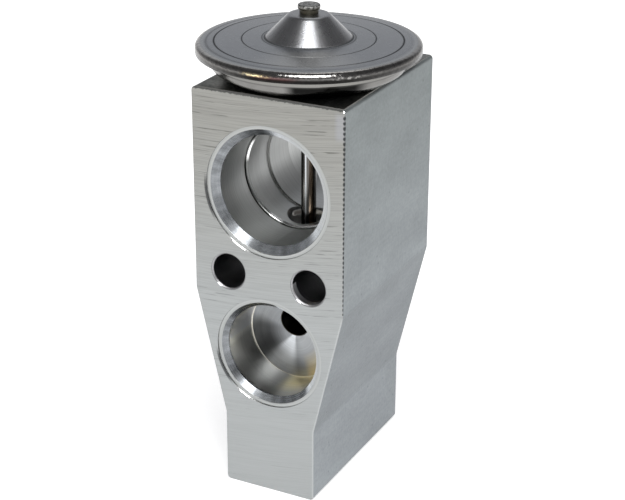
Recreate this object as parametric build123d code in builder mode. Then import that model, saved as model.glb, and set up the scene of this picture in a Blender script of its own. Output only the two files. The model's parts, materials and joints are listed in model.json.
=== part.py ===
from build123d import *
from math import radians, sqrt, tan
import os

# Thermostatic expansion valve, block type, in millimetres.
# The origin is on the valve axis at the block's bottom face. +Z is up towards the power head,
# and the face with the outlet and the fixing holes looks along -Y.

# Block
block_width = 30.0
block_depth = 36.8
block_height = 77.5
foot_width = 18.3
taper_start = 14.4
taper_end = 39.0
profile_radius = 0.7
axis_to_front = 15.8
back_y = block_depth - axis_to_front

# Suction line, straight through from front to back
suction_height = 59.9
suction_spot_radius = 12.4
suction_mouth_radius = 11.75
suction_bore_radius = 10.35
suction_lead = 1.3
suction_bore_depth = 10.2
suction_shoulder = 0.8
passage_radius = 9.95
back_passage_radius = 9.6
spot_depth = 0.2

# Liquid outlet at the front, towards the evaporator
outlet_height = 28.5
outlet_spot_radius = 10.75
outlet_mouth_radius = 10.05
outlet_bore_radius = 9.1
outlet_lead = 1.1
outlet_bore_depth = 10.0
outlet_floor_angle = 4.0
outlet_hole_radius = 2.9
outlet_hole_rise = 2.2
outlet_hole_overrun = 2.6
drill_tip_angle = 31.0

# Liquid inlet at the back, from the condenser
inlet_drop = 3.0
inlet_spot_radius = 8.5
inlet_mouth_radius = 8.0
inlet_bore_radius = 7.1
inlet_lead = 1.0
inlet_bore_depth = 9.5
inlet_floor_angle = 4.0
inlet_hole_radius = 2.5
inlet_hole_below_seat = 4.3
inlet_hole_overrun = 0.8

# Fixing holes, for M6 screws through both pipe flanges
fixing_spacing = 16.26
fixing_radius = 3.3
fixing_chamfer = 0.22

# Clearances
running_gap = 0.05
thread_gap = 0.06
press_gap = 0.02
seat_gap = 0.15
stop_gap = 0.1

# Stem: rod, ball, carrier and backing plate, which move together
stroke = 0.8
rod_radius = 1.4
rod_tip_radius = 0.95
rod_tip_chamfer = 0.2
ball_radius = 2.4
orifice_radius = 1.6
orifice_length = 1.6
seat_width = 1.0

# Bores on the valve axis
chamber_radius = 4.7
head_pocket_radius = 12.0
head_pocket_depth = 5.5
head_seal_pocket_radius = 13.4
head_seal_pocket_depth = 1.45
vapour_hole_radius = 5.0
recess_radius = 4.0
recess_depth = 3.45
seal_bore_radius = 3.2
seal_bore_depth = 2.9

# Adjusting screw
screw_radius = 6.0
screw_inset = 1.3
screw_length = 5.0
screw_travel = 1.0
screw_relief = 0.7
screw_mouth_chamfer = 0.6
screw_chamfer = 0.5
hex_across_flats = 5.0
hex_depth = 3.4
land_length = 3.9
groove_below_land = 1.2
groove_height = 1.5
groove_radius = 3.6
spigot_radius = 2.3
spigot_height = 2.2

# Ball carrier and spring
carrier_radius = 3.9
carrier_flange = 1.2
carrier_cup_radius = 2.9
carrier_cup_rise = 0.25
carrier_stem_radius = 2.2
carrier_stem_length = 3.4
spring_wire = 0.95
spring_mean_radius = 3.3
spring_turns = 5.0
carrier_neck = 1.3
damper_thickness = 0.3
damper_leg_height = 1.5
damper_leg_angle = 44.0
damper_legs = 3

# Seals and the retainer
seal_squeeze_gap = 0.04
retainer_thickness = 0.5
retainer_bore_radius = 1.75
retainer_slots = 6
retainer_slot_width = 0.5
retainer_slot_depth = 0.9

# Power head, heights counted from the block's top face
rim_radius = 20.26
rim_bottom_height = 4.3
rim_land_width = 1.26
rim_bend = 0.8
seam_width = 0.36
seam_bend = 0.15
cover_sheet = 0.9
cup_sheet = 0.84
diaphragm_sheet = 0.12
cup_foot_width = 2.6
cup_belly_inset = 0.3
cup_belly_height = 1.7
cup_flange_width = 0.9
cup_shoulder_height = 2.95
cup_shoulder_inset = 1.25
cup_foot_bend = 1.2
cup_belly_bend = 1.2
cup_shoulder_bend = 0.3
cup_flange_bend = 0.3
cone_top_height = 11.15
cone_top_radius = 3.6
cone_foot_radius = 7.9
cone_foot_height = 6.8
cone_shoulder_bend = 1.3
cone_foot_bend = 0.6
inner_ring_radius = 11.95
inner_ring_height = 6.6
outer_ring_inset = 3.36
outer_ring_height = 6.35
ring_width = 0.3
ring_depth = 0.14
charge_hole_radius = 1.0
plug_neck_radius = 1.69
plug_neck_height = 0.8
plug_head_radius = 2.03
plug_head_height = 0.85
plug_head_bend = 0.25
plug_pin_length = 1.6
collar_bore_radius = 8.0
collar_flange_width = 1.0
collar_inset = 0.4
collar_chamfer = 0.7
plate_to_cup = 5.25
plate_thickness = 1.5
plate_bend = 0.4
boss_radius = 3.6
boss_drop = 1.0
rod_seat_depth = 2.6
corrugation_start = 0.3
corrugation_width = 3.2
corrugation_waves = 2
corrugation_depth = 0.12

# Places on the block that follow from the sizes above
outlet_hole_height = outlet_height + outlet_hole_rise
inlet_height = outlet_height - inlet_drop
fixing_height = (suction_height - suction_spot_radius + outlet_height + outlet_spot_radius) / 2
seat_top = outlet_hole_height - outlet_hole_radius - orifice_length
inlet_hole_height = seat_top - inlet_hole_below_seat
recess_floor = suction_height - passage_radius - recess_depth
seal_bore_floor = recess_floor - seal_bore_depth
screw_top = screw_inset + screw_length
screw_bore_depth = screw_top + screw_travel + screw_relief
land_top = screw_top + land_length
groove_bottom = land_top - groove_below_land - groove_height

# Places in the power head and on the stem that follow from the sizes above
block_top = block_height
flange_bottom = block_top + rim_bottom_height
flange_top = flange_bottom + cup_sheet
rim_top = flange_top + diaphragm_sheet + cover_sheet
seam_inner_radius = rim_radius - seam_width
flange_radius = seam_inner_radius - press_gap
outer_ring_radius = rim_radius - outer_ring_inset
cup_foot_radius = head_pocket_radius + cup_foot_width
cup_flare_radius = flange_radius - cup_flange_width
cup_shoulder_radius = cup_flare_radius - cup_shoulder_inset
cup_belly_radius = cup_shoulder_radius - cup_belly_inset
collar_flange_radius = head_pocket_radius + collar_flange_width
plate_radius = cup_shoulder_radius - plate_to_cup
wave_start = plate_radius + corrugation_start
plate_top = flange_top - press_gap
plate_bottom = plate_top - plate_thickness
collar_top = plate_bottom - stroke - stop_gap
pocket_floor = block_top - head_pocket_depth
seat_bottom = seat_top - seat_width
ball_z = seat_top + orifice_radius - ball_radius * sqrt(2) - seat_gap
carrier_top = ball_z - ball_radius / sqrt(2) + carrier_cup_rise
carrier_shoulder = carrier_top - carrier_neck
carrier_bottom = carrier_shoulder - carrier_flange
overshoot = 1.0


def turned_cut(steps, mouth, outward):
    """Returns a turned cutter: (depth, radius) steps go inward from a mouth whose normal is outward."""
    outline = [(0, overshoot), (steps[0][1], overshoot)]
    outline += [(radius, -depth) for depth, radius in steps]
    if steps[-1][1] > 0:
        outline.append((0, -steps[-1][0]))
    with BuildPart() as cutter:
        with BuildSketch(Plane.XZ):
            with BuildLine():
                Polyline(*outline, close=True)
            make_face()
        revolve(axis=Axis.Z)
    return cutter.part.moved(Location(Plane(origin=mouth, z_dir=outward)))


def ring_seal(inner_radius, outer_radius, z, name):
    """Returns a round-section seal ring that lies about the valve axis with its middle at z."""
    section = (outer_radius - inner_radius) / 2
    with BuildPart() as ring:
        with BuildSketch(Plane.XZ):
            with Locations(((inner_radius + outer_radius) / 2, z)):
                Circle(section)
        revolve(axis=Axis.Z)
    ring.part.label = name
    return ring.part


def port_steps(spot_radius, mouth_radius, bore_radius, lead, bore_depth):
    """Returns the steps of a pipe port: spot face, lead chamfer and straight bore."""
    return [
        (0, spot_radius),
        (spot_depth, spot_radius),
        (spot_depth, mouth_radius),
        (spot_depth + lead, bore_radius),
        (bore_depth, bore_radius),
    ]


suction_port = port_steps(
    suction_spot_radius, suction_mouth_radius, suction_bore_radius, suction_lead, suction_bore_depth
)
passage_start = suction_bore_depth + suction_shoulder
middle_depth = block_depth / 2
front_suction_cut = turned_cut(
    suction_port + [(passage_start, passage_radius), (middle_depth, passage_radius)],
    (0, -axis_to_front, suction_height),
    (0, -1, 0),
)
back_suction_cut = turned_cut(
    suction_port + [(passage_start, back_passage_radius), (middle_depth + overshoot, back_passage_radius)],
    (0, back_y, suction_height),
    (0, 1, 0),
)
outlet_cut = turned_cut(
    port_steps(outlet_spot_radius, outlet_mouth_radius, outlet_bore_radius, outlet_lead, outlet_bore_depth)
    + [(outlet_bore_depth + outlet_bore_radius * tan(radians(outlet_floor_angle)), 0)],
    (0, -axis_to_front, outlet_height),
    (0, -1, 0),
)
inlet_cut = turned_cut(
    port_steps(inlet_spot_radius, inlet_mouth_radius, inlet_bore_radius, inlet_lead, inlet_bore_depth)
    + [(inlet_bore_depth + inlet_bore_radius * tan(radians(inlet_floor_angle)), 0)],
    (0, back_y, inlet_height),
    (0, 1, 0),
)
drill_tip = tan(radians(drill_tip_angle))
outlet_hole_end = axis_to_front + outlet_hole_overrun
outlet_hole_cut = turned_cut(
    [
        (0, outlet_hole_radius),
        (outlet_hole_end - outlet_hole_radius * drill_tip, outlet_hole_radius),
        (outlet_hole_end, 0),
    ],
    (0, -axis_to_front, outlet_hole_height),
    (0, -1, 0),
)
inlet_hole_cut = turned_cut(
    [(0, inlet_hole_radius), (back_y - chamber_radius + inlet_hole_overrun, inlet_hole_radius)],
    (0, back_y, inlet_hole_height),
    (0, 1, 0),
)
head_cut = turned_cut(
    [
        (0, head_seal_pocket_radius),
        (head_seal_pocket_depth, head_seal_pocket_radius),
        (head_seal_pocket_depth, head_pocket_radius),
        (head_pocket_depth, head_pocket_radius),
        (head_pocket_depth, vapour_hole_radius),
        (block_top - suction_height, vapour_hole_radius),
        (block_top - suction_height, recess_radius),
        (block_top - recess_floor, recess_radius),
        (block_top - recess_floor, seal_bore_radius),
        (block_top - seal_bore_floor, seal_bore_radius),
        (block_top - seal_bore_floor, rod_radius + running_gap),
        (block_top - outlet_hole_height, rod_radius + running_gap),
    ],
    (0, 0, block_top),
    (0, 0, 1),
)
chamber_lead = screw_radius - chamber_radius
chamber_cut = turned_cut(
    [
        (0, screw_radius + screw_mouth_chamfer),
        (screw_mouth_chamfer, screw_radius),
        (screw_bore_depth, screw_radius),
        (screw_bore_depth + chamber_lead / 2, chamber_radius),
        (seat_bottom, chamber_radius),
        (seat_bottom, orifice_radius + seat_width),
        (seat_top, orifice_radius),
        (outlet_hole_height, orifice_radius),
    ],
    (0, 0, 0),
    (0, 0, -1),
)

fixing_cut = turned_cut(
    [
        (0, fixing_radius + fixing_chamfer),
        (fixing_chamfer, fixing_radius),
        (block_depth - fixing_chamfer, fixing_radius),
        (block_depth, fixing_radius + fixing_chamfer),
        (block_depth + overshoot, fixing_radius + fixing_chamfer),
    ],
    (0, -axis_to_front, fixing_height),
    (0, -1, 0),
)

# Valve body: one length of profile, sawn off and machined from all sides
with BuildPart() as valve_body:
    with BuildSketch(Plane.XZ.offset(axis_to_front)) as block_profile:
        with BuildLine():
            Polyline(
                (foot_width / 2, 0),
                (foot_width / 2, taper_start),
                (block_width / 2, taper_end),
                (block_width / 2, block_height),
                (-block_width / 2, block_height),
                (-block_width / 2, taper_end),
                (-foot_width / 2, taper_start),
                (-foot_width / 2, 0),
                close=True,
            )
        make_face()
        fillet(block_profile.vertices(), profile_radius)
    extrude(amount=-block_depth)
    for cutter in (front_suction_cut, back_suction_cut, outlet_cut, inlet_cut):
        add(cutter, mode=Mode.SUBTRACT)
    for cutter in (outlet_hole_cut, inlet_hole_cut, head_cut, chamber_cut):
        add(cutter, mode=Mode.SUBTRACT)
    with Locations((-fixing_spacing / 2, 0, 0), (fixing_spacing / 2, 0, 0)):
        add(fixing_cut, mode=Mode.SUBTRACT)
valve_body.part.label = "valve_body"

# Lower cover: pressed cup that stands on the block and flares out to the rim
with BuildPart() as lower_cover:
    with BuildSketch(Plane.XZ):
        with BuildLine():
            FilletPolyline(
                (head_pocket_radius, block_top),
                (cup_foot_radius, block_top),
                (cup_belly_radius, block_top + cup_belly_height),
                (cup_shoulder_radius, block_top + cup_shoulder_height),
                (cup_flare_radius, flange_bottom),
                (flange_radius, flange_bottom),
                radius=(cup_foot_bend, cup_belly_bend, cup_shoulder_bend, cup_flange_bend),
            )
            offset(amount=cup_sheet, side=Side.LEFT)
        make_face()
    revolve(axis=Axis.Z)
lower_cover.part.label = "lower_cover"

# Upper cover: pressed cap with a filling cone, its edge closed over the diaphragm and the cup by a seam
with BuildPart() as upper_cover:
    with BuildSketch(Plane.XZ) as cover_profile:
        with BuildLine():
            FilletPolyline(
                (charge_hole_radius, block_top + cone_top_height),
                (cone_top_radius, block_top + cone_top_height),
                (cone_foot_radius, block_top + cone_foot_height),
                (inner_ring_radius, block_top + inner_ring_height),
                radius=(cone_shoulder_bend, cone_foot_bend),
            )
            Polyline(
                (inner_ring_radius, block_top + inner_ring_height),
                (outer_ring_radius, block_top + outer_ring_height),
                (rim_radius - rim_land_width, rim_top),
                (rim_radius, rim_top),
            )
            offset(amount=cover_sheet, side=Side.RIGHT, kind=Kind.INTERSECTION)
        make_face()
        with Locations((rim_radius, flange_bottom)):
            Rectangle(seam_width, rim_top - flange_bottom, align=(Align.MAX, Align.MIN))
        fillet(cover_profile.vertices().sort_by_distance((rim_radius, rim_top))[0], rim_bend)
        fillet(cover_profile.vertices().sort_by_distance((rim_radius, flange_bottom))[0], seam_bend)
    revolve(axis=Axis.Z)
    with BuildSketch(Plane.XZ):
        for ring_radius, ring_height in (
            (inner_ring_radius, inner_ring_height),
            (outer_ring_radius, outer_ring_height),
        ):
            with BuildLine():
                Polyline(
                    (ring_radius - ring_width / 2, block_top + ring_height + ring_depth),
                    (ring_radius + ring_width / 2, block_top + ring_height + ring_depth),
                    (ring_radius, block_top + ring_height - ring_depth),
                    close=True,
                )
            make_face()
    revolve(axis=Axis.Z, mode=Mode.SUBTRACT)
upper_cover.part.label = "upper_cover"

# Diaphragm: thin corrugated disc held between the covers at the rim
wave_length = corrugation_width / corrugation_waves
with BuildPart() as diaphragm:
    with BuildSketch(Plane.XZ):
        with BuildLine():
            Polyline(
                (0, flange_top),
                (wave_start, flange_top),
                *[
                    (
                        wave_start + wave_length * (wave + part),
                        flange_top - corrugation_depth * drop,
                    )
                    for wave in range(corrugation_waves)
                    for part, drop in ((0.25, 1), (0.75, 0))
                ],
                (flange_radius, flange_top),
            )
            offset(amount=diaphragm_sheet, side=Side.LEFT)
        make_face()
    revolve(axis=Axis.Z)
diaphragm.part.label = "diaphragm"

# Head collar: threaded neck clamped in the cup's floor, screwed into the block
with BuildPart() as head_collar:
    with BuildSketch(Plane.XZ):
        with BuildLine():
            Polyline(
                (collar_bore_radius, pocket_floor + collar_inset),
                (head_pocket_radius - thread_gap - collar_chamfer, pocket_floor + collar_inset),
                (head_pocket_radius - thread_gap, pocket_floor + collar_inset + collar_chamfer),
                (head_pocket_radius - thread_gap, block_top + cup_sheet),
                (collar_flange_radius, block_top + cup_sheet),
                (collar_flange_radius, collar_top),
                (collar_bore_radius, collar_top),
                close=True,
            )
        make_face()
    revolve(axis=Axis.Z)
head_collar.part.label = "head_collar"

head_seal = ring_seal(
    head_pocket_radius - thread_gap + seal_squeeze_gap,
    head_seal_pocket_radius - seal_squeeze_gap,
    block_top - head_seal_pocket_depth / 2,
    "head_seal",
)

# Charge plug: stub that closes the filling hole in the cone
plug_base = block_top + cone_top_height
with BuildPart() as charge_plug:
    with BuildSketch(Plane.XZ) as plug_profile:
        with BuildLine():
            Polyline(
                (0, plug_base - plug_pin_length),
                (charge_hole_radius - press_gap, plug_base - plug_pin_length),
                (charge_hole_radius - press_gap, plug_base),
                (plug_neck_radius, plug_base),
                (plug_neck_radius, plug_base + plug_neck_height),
                (plug_head_radius, plug_base + plug_neck_height),
                (plug_head_radius, plug_base + plug_neck_height + plug_head_height),
                (0, plug_base + plug_neck_height + plug_head_height),
                close=True,
            )
        make_face()
        fillet(
            plug_profile.vertices().filter_by(lambda corner: abs(corner.X - plug_head_radius) < 1e-6),
            plug_head_bend,
        )
    revolve(axis=Axis.Z)
charge_plug.part.label = "charge_plug"

# Backing plate: stands under the diaphragm and drives the rod
boss_bottom = block_top - boss_drop
with BuildPart() as backing_plate:
    with BuildSketch(Plane.XZ) as plate_profile:
        with BuildLine():
            Polyline(
                (0, boss_bottom),
                (boss_radius, boss_bottom),
                (boss_radius, plate_bottom),
                (plate_radius, plate_bottom),
                (plate_radius, plate_top),
                (0, plate_top),
                close=True,
            )
        make_face()
        fillet(
            plate_profile.vertices().filter_by(lambda corner: corner.X > boss_radius - 1e-6),
            plate_bend,
        )
    revolve(axis=Axis.Z)
    with BuildSketch(Plane.XY.offset(boss_bottom)):
        Circle(rod_radius + press_gap)
    extrude(amount=rod_seat_depth, mode=Mode.SUBTRACT)
backing_plate.part.label = "backing_plate"

# Actuating rod: from the backing plate down to the ball
rod_bottom = ball_z + ball_radius + press_gap
rod_top = boss_bottom + rod_seat_depth - press_gap
neck_z = outlet_hole_height + outlet_hole_radius + stroke
with BuildPart() as actuating_rod:
    with BuildSketch(Plane.XZ):
        with BuildLine():
            Polyline(
                (0, rod_bottom),
                (rod_tip_radius, rod_bottom),
                (rod_tip_radius, neck_z),
                (rod_radius, neck_z + rod_radius - rod_tip_radius),
                (rod_radius, rod_top - rod_tip_chamfer),
                (rod_radius - rod_tip_chamfer, rod_top),
                (0, rod_top),
                close=True,
            )
        make_face()
    revolve(axis=Axis.Z)
actuating_rod.part.label = "actuating_rod"

seal_section = (seal_bore_radius - rod_radius - running_gap - seal_squeeze_gap) / 2
rod_seal = ring_seal(
    rod_radius + running_gap,
    seal_bore_radius - seal_squeeze_gap,
    seal_bore_floor + seal_section,
    "rod_seal",
)

# Seal retainer: slotted spring washer pressed into the recess above the seal
with BuildPart() as seal_retainer:
    with BuildSketch(Plane.XY.offset(recess_floor)):
        Circle(recess_radius - press_gap)
        Circle(retainer_bore_radius, mode=Mode.SUBTRACT)
        with PolarLocations(retainer_bore_radius, retainer_slots):
            Rectangle(2 * retainer_slot_depth, retainer_slot_width, mode=Mode.SUBTRACT)
    extrude(amount=retainer_thickness)
seal_retainer.part.label = "seal_retainer"

# Ball: closes the seat from below
with BuildPart() as ball:
    with Locations((0, 0, ball_z)):
        Sphere(ball_radius)
ball.part.label = "ball"

# Ball carrier: coned cup for the ball, flange for the spring, stem inside the spring
cup_depth = ball_radius / sqrt(2) + carrier_cup_rise
with BuildPart() as ball_carrier:
    with BuildSketch(Plane.XZ):
        with BuildLine():
            Polyline(
                (0, carrier_top - cup_depth - press_gap),
                (cup_depth, carrier_top - press_gap),
                (carrier_cup_radius, carrier_top - press_gap),
                (carrier_cup_radius, carrier_shoulder),
                (carrier_radius, carrier_shoulder),
                (carrier_radius, carrier_bottom),
                (carrier_stem_radius, carrier_bottom),
                (carrier_stem_radius, carrier_bottom - carrier_stem_length),
                (0, carrier_bottom - carrier_stem_length),
                close=True,
            )
        make_face()
    revolve(axis=Axis.Z)
ball_carrier.part.label = "ball_carrier"

# Damping ring: sits on the carrier's shoulder, its legs rub on the chamber wall
leg_outer_radius = chamber_radius - running_gap
with BuildPart() as damping_ring:
    with BuildSketch(Plane.XY.offset(carrier_shoulder)):
        Circle(leg_outer_radius - damper_thickness)
        Circle(carrier_cup_radius + press_gap, mode=Mode.SUBTRACT)
    extrude(amount=damper_thickness)
    with BuildSketch(Plane.XY.offset(carrier_shoulder)):
        with PolarLocations(0, damper_legs):
            with BuildLine():
                outer_arc = CenterArc((0, 0), leg_outer_radius, -damper_leg_angle / 2, damper_leg_angle)
                inner_arc = CenterArc(
                    (0, 0), leg_outer_radius - 2 * damper_thickness, -damper_leg_angle / 2, damper_leg_angle
                )
                Line(outer_arc @ 0, inner_arc @ 0)
                Line(outer_arc @ 1, inner_arc @ 1)
            make_face()
    extrude(amount=damper_leg_height)
damping_ring.part.label = "damping_ring"

# Spring: pushes the carrier up, ends ground flat
spring_bottom = land_top + press_gap
spring_top = carrier_bottom - press_gap
with BuildPart() as spring:
    with BuildLine():
        coil = Helix(
            pitch=(spring_top - spring_bottom) / spring_turns,
            height=spring_top - spring_bottom,
            radius=spring_mean_radius,
            center=(0, 0, spring_bottom),
        )
    with BuildSketch(Plane(origin=coil @ 0, z_dir=coil % 0)):
        Circle(spring_wire / 2)
    sweep(path=coil, is_frenet=True)
    split(bisect_by=Plane.XY.offset(spring_bottom), keep=Keep.TOP)
    split(bisect_by=Plane.XY.offset(spring_top), keep=Keep.BOTTOM)
spring.part.label = "spring"

# Adjusting screw: threaded plug with a hexagon socket, seal groove and spring spigot
with BuildPart() as adjusting_screw:
    with BuildSketch(Plane.XZ):
        with BuildLine():
            Polyline(
                (0, screw_inset),
                (screw_radius - thread_gap - screw_chamfer, screw_inset),
                (screw_radius - thread_gap, screw_inset + screw_chamfer),
                (screw_radius - thread_gap, screw_top),
                (chamber_radius - thread_gap, screw_top),
                (chamber_radius - thread_gap, groove_bottom),
                (groove_radius, groove_bottom),
                (groove_radius, groove_bottom + groove_height),
                (chamber_radius - thread_gap, groove_bottom + groove_height),
                (chamber_radius - thread_gap, land_top),
                (spigot_radius, land_top),
                (spigot_radius, land_top + spigot_height),
                (0, land_top + spigot_height),
                close=True,
            )
        make_face()
    revolve(axis=Axis.Z)
    with BuildSketch(Plane.XY.offset(screw_inset)):
        RegularPolygon(hex_across_flats / 2, 6, major_radius=False)
    extrude(amount=hex_depth, mode=Mode.SUBTRACT)
adjusting_screw.part.label = "adjusting_screw"

adjuster_seal = ring_seal(
    groove_radius + seal_squeeze_gap,
    chamber_radius - seal_squeeze_gap,
    groove_bottom + groove_height / 2,
    "adjuster_seal",
)

pieces = [
    valve_body.part,
    lower_cover.part,
    upper_cover.part,
    diaphragm.part,
    head_collar.part,
    head_seal,
    charge_plug.part,
    backing_plate.part,
    actuating_rod.part,
    rod_seal,
    seal_retainer.part,
    ball.part,
    ball_carrier.part,
    damping_ring.part,
    spring.part,
    adjusting_screw.part,
    adjuster_seal,
]
os.makedirs("parts", exist_ok=True)
for piece in pieces:
    export_step(piece, f"parts/{piece.label}.step")
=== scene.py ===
import bmesh
import bpy
import json
from functools import cached_property
from math import cos, radians
from mathutils import Matrix, Vector


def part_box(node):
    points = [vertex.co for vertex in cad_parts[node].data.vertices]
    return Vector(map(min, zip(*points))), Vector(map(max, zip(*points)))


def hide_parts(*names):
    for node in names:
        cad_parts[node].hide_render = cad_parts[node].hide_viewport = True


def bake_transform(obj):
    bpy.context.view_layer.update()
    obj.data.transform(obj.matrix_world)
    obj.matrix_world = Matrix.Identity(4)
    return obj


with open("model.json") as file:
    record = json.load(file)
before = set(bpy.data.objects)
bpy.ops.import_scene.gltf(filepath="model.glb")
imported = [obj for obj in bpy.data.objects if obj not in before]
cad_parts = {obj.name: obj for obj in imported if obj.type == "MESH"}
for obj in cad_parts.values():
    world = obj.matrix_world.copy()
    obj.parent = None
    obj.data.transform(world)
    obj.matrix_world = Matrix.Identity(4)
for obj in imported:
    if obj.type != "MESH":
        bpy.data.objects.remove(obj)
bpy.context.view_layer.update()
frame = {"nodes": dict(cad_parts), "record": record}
nodes = frame["nodes"]
mounts = {mount["name"]: mount for mount in frame["record"]["mounts"]}
scene = bpy.context.scene
scene.view_settings.view_transform = "Standard"


def millimetres(length):
    """Turns metres into millimetres, to the nearest thousandth."""
    return round(length * 1000, 3)


# Sizes and places of the block that the frame gives, in millimetres
block_low, block_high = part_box("valve_body")
FRONT_Y = millimetres(block_low.y)
BACK_Y = millimetres(block_high.y)
MIDDLE_Y = (FRONT_Y + BACK_Y) / 2
TOP_Z = millimetres(block_high.z)
HALF_WIDTH = millimetres(block_high.x)
SUCTION_Z = millimetres(mounts["suction_inlet"]["pos_m"][2])
OUTLET_Z = millimetres(mounts["liquid_outlet"]["pos_m"][2])
INLET_Z = millimetres(mounts["liquid_inlet"]["pos_m"][2])
OUTLET_RADIUS = mounts["liquid_outlet"]["dims"]["r_mm"]
FIXING_Z = millimetres(mounts["fixing_holes"]["pos_m"][2])
FIXING_X = mounts["fixing_holes"]["dims"]["spacing_x_mm"] / 2

# Sizes of the block that the frame does not give, in millimetres
HALF_FOOT = 9.15
TAPER_START = 14.4
TAPER_END = 39.0
INLET_SIDE_Y = 4.0
SPOT_DEPTH = 0.2
CHAMFER_DEPTH = 1.55
SUCTION_LIP_RADIUS = 12.38
OUTLET_LIP_RADIUS = 10.72
OUTLET_FLOOR_DEPTH = 9.3
SHOULDER_START = 10.15
SHOULDER_END = 11.05
PASSAGE_DEPTH = 10.9
DRILLING_Z = 30.7
DRILLING_RADIUS = 3.05
MOUTH_RADIUS = 3.62

# Limits that tell the surfaces apart: depth in millimetres, and share of the normal along an axis
SKIN = 0.1
SIDE_SKIN = 0.75
SQUARE_ON = 0.9

WHITE = (1.0, 1.0, 1.0)


class Graph:
    """Node tree of a material or world, with short calls for the nodes that the finishes use."""

    def __init__(self, owner, output_kind="ShaderNodeOutputMaterial"):
        owner.use_nodes = True
        self.owner = owner
        self.tree = owner.node_tree
        self.tree.nodes.clear()
        self.output = self.tree.nodes.new(output_kind)

    def put(self, socket, value):
        if isinstance(value, bpy.types.NodeSocket):
            self.tree.links.new(value, socket)
        elif isinstance(value, (tuple, list)) and socket.type == "RGBA":
            socket.default_value = (*value, 1.0)
        else:
            socket.default_value = value

    def node(self, kind, inputs=(), **settings):
        made = self.tree.nodes.new(kind)
        for name, value in settings.items():
            setattr(made, name, value)
        for name, value in dict(inputs).items():
            self.put(made.inputs[name], value)
        return made

    def math(self, operation, a, b=0.0):
        made = self.node("ShaderNodeMath", operation=operation)
        for socket, value in zip(made.inputs, (a, b)):
            self.put(socket, value)
        return made.outputs[0]

    def add(self, a, b):
        return self.math("ADD", a, b)

    def sub(self, a, b):
        return self.math("SUBTRACT", a, b)

    def mul(self, a, b):
        return self.math("MULTIPLY", a, b)

    def absolute(self, value):
        return self.math("ABSOLUTE", value)

    def length(self, a, b):
        return self.math("SQRT", self.add(self.mul(a, a), self.mul(b, b)))

    def both(self, *masks):
        result = masks[0]
        for mask in masks[1:]:
            result = self.mul(result, mask)
        return result

    def either(self, *masks):
        result = masks[0]
        for mask in masks[1:]:
            result = self.math("MAXIMUM", result, mask)
        return result

    def inverse(self, mask):
        return self.sub(1.0, mask)

    def weaken(self, mask, strength):
        return mask if strength == 1.0 else self.mul(mask, strength)

    def ramp(self, value, low, high, to_low=0.0, to_high=1.0, smooth=False):
        made = self.node(
            "ShaderNodeMapRange",
            {"Value": value, "From Min": low, "From Max": high, "To Min": to_low, "To Max": to_high},
            interpolation_type="SMOOTHSTEP" if smooth else "LINEAR",
        )
        return made.outputs["Result"]

    def spread(self, noise, low, high):
        """Spreads a noise, which lies mostly between 0.3 and 0.7, over a range."""
        return self.ramp(noise, 0.3, 0.7, low, high)

    def above(self, value, edge, width=0.02):
        return self.ramp(value, edge - width / 2, edge + width / 2)

    def below(self, value, edge, width=0.02):
        return self.ramp(value, edge - width / 2, edge + width / 2, 1.0, 0.0)

    def between(self, value, low, high, width=0.04):
        return self.both(self.above(value, low, width), self.below(value, high, width))

    def near(self, value, middle, inner, outer):
        """Soft mask about a middle: full as far as inner, and gone at outer."""
        return self.ramp(self.absolute(self.sub(value, middle)), inner, outer, 1.0, 0.0, True)

    def arc(self, angle, middle, half_width):
        """Mask of a piece of a ring, by its middle and half width in degrees."""
        turned = self.math("COSINE", self.sub(angle, radians(middle)))
        return self.ramp(turned, cos(radians(half_width)), cos(radians(half_width * 0.35)), smooth=True)

    def arcs(self, angle, *pieces):
        """Strongest of some arcs, each with its middle, its half width and its strength."""
        masks = [self.weaken(self.arc(angle, middle, half), strength) for middle, half, strength in pieces]
        return self.either(*masks)

    def level(self, angle, base, *pieces):
        """A level that changes along arcs, each with its middle, its half width and its change."""
        total = base
        for middle, half, change in pieces:
            total = self.add(total, self.mul(self.arc(angle, middle, half), change))
        return total

    def place(self):
        """Returns x, y and z on the part in millimetres."""
        coordinates = self.node("ShaderNodeTexCoord")
        scaled = self.node("ShaderNodeVectorMath", operation="SCALE")
        self.put(scaled.inputs[0], coordinates.outputs["Object"])
        scaled.inputs["Scale"].default_value = 1000.0
        return self.node("ShaderNodeSeparateXYZ", {"Vector": scaled.outputs[0]}).outputs

    def face_normal(self):
        geometry = self.node("ShaderNodeNewGeometry")
        return self.node("ShaderNodeSeparateXYZ", {"Vector": geometry.outputs["True Normal"]}).outputs

    def smooth_normal(self):
        return self.node("ShaderNodeNewGeometry").outputs["Normal"]

    def vector(self, x, y, z):
        return self.node("ShaderNodeCombineXYZ", {"X": x, "Y": y, "Z": z}).outputs[0]

    def noise(self, vector, scale, detail=2.0, roughness=0.5):
        inputs = {"Vector": vector, "Scale": scale, "Detail": detail, "Roughness": roughness}
        return self.node("ShaderNodeTexNoise", inputs).outputs["Fac"]

    def stretched_noise(self, *parts, detail=2.0, roughness=0.5):
        """Noise over three coordinates, each a number or a pair of a value and its frequency."""
        scaled = [self.mul(*part) if isinstance(part, tuple) else part for part in parts]
        return self.noise(self.vector(*scaled), 1.0, detail, roughness)

    def spots(self, vector, scale):
        return self.node("ShaderNodeTexVoronoi", {"Vector": vector, "Scale": scale}).outputs["Distance"]

    def mix(self, data_type, first_input, factor, a, b):
        made = self.node("ShaderNodeMix", data_type=data_type)
        self.put(made.inputs[0], factor)
        self.put(made.inputs[first_input], a)
        self.put(made.inputs[first_input + 1], b)
        return made

    def blend(self, factor, a, b):
        """Mixes two colours."""
        return self.mix("RGBA", 6, factor, a, b).outputs[2]

    def blend_value(self, factor, a, b):
        return self.mix("FLOAT", 2, factor, a, b).outputs[0]

    def blend_vector(self, factor, a, b):
        return self.mix("VECTOR", 4, factor, a, b).outputs[1]

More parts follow.
